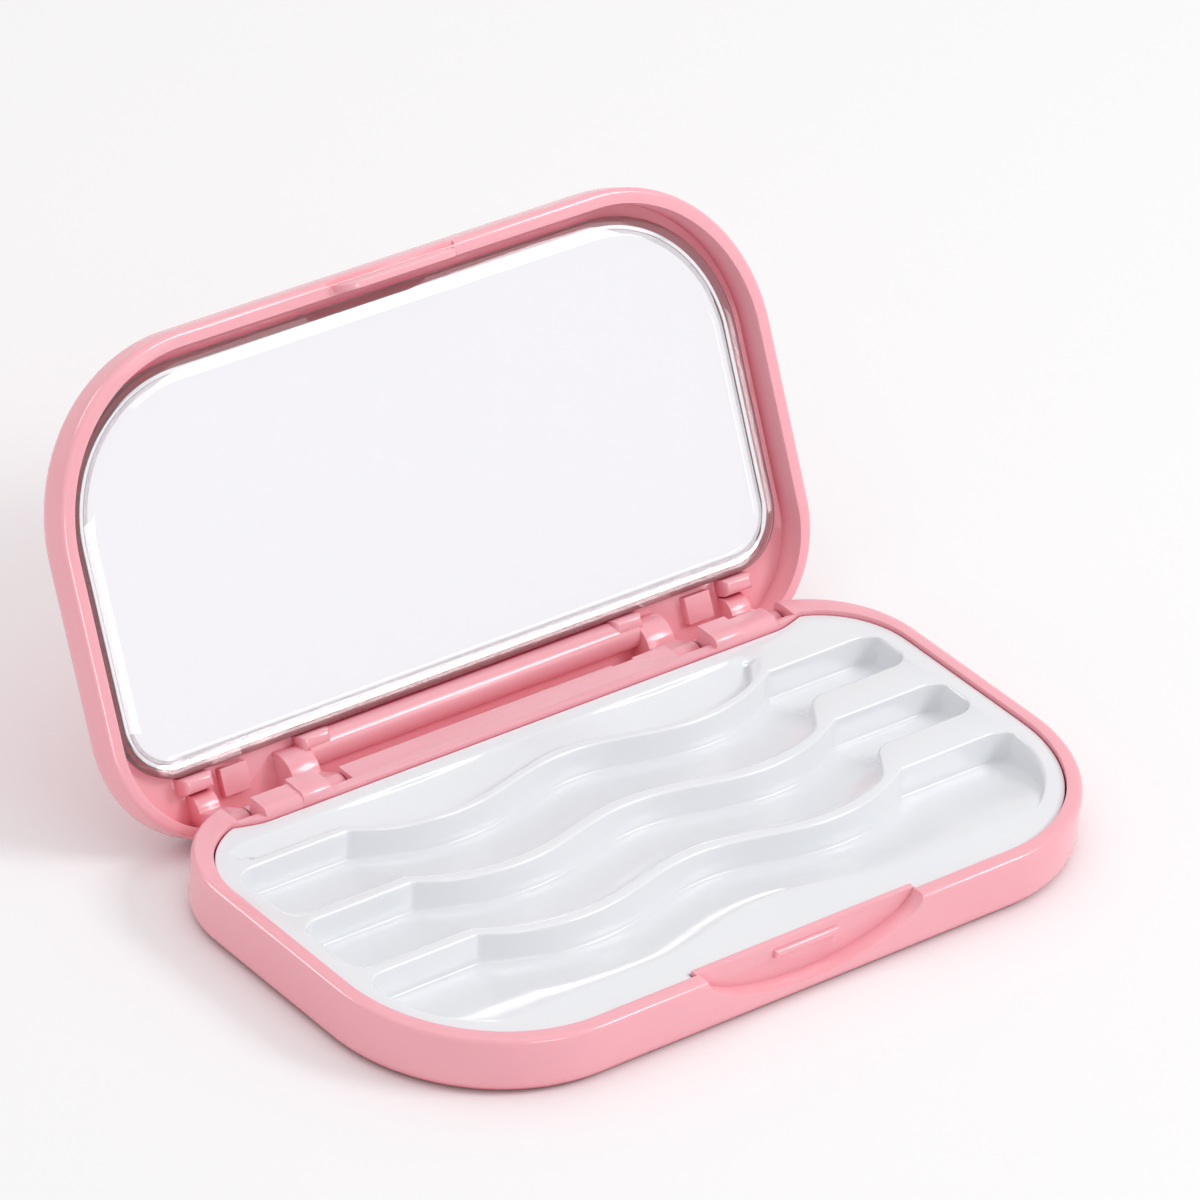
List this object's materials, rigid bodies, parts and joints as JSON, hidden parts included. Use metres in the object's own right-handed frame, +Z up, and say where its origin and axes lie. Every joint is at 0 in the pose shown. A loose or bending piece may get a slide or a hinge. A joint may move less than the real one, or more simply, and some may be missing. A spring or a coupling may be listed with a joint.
{
  "type": "false eyelash case",
  "caption": "Shallow folding case with rounded corners, a tray with stepped wavy ridges for strip lashes, and a hinged lid with an inner mirror.",
  "frame": {"origin": "middle of the underside of the base, at the height of the table", "axes": "+X along the hinge, to the right as seen from the front; +Y to the rear, where the hinge is; +Z up"},
  "size_m": [0.116, 0.0977, 0.0603],
  "materials": {
    "base_shell": "gloss",
    "lid_shell": "gloss",
    "lash_tray": "gloss",
    "mirror_plate": "gloss",
    "mirror_pad": "matte",
    "hinge_pins": "brushed"
  },
  "bodies": {
    "base": {"base_shell": "base_shell", "lash_tray": "lash_tray"},
    "lid": {"lid_shell": "lid_shell", "mirror_plate": "mirror_plate", "mirror_pad": "mirror_pad", "hinge_pin_left": "hinge_pins", "hinge_pin_right": "hinge_pins"}
  },
  "joints": [
    {"name": "lid_hinge", "type": "hinge", "parent": "base", "child": "lid", "pos_m": [0, 0.0302, 0.0053], "axis": [1, 0, 0], "range_deg": [0, 117]}
  ]
}
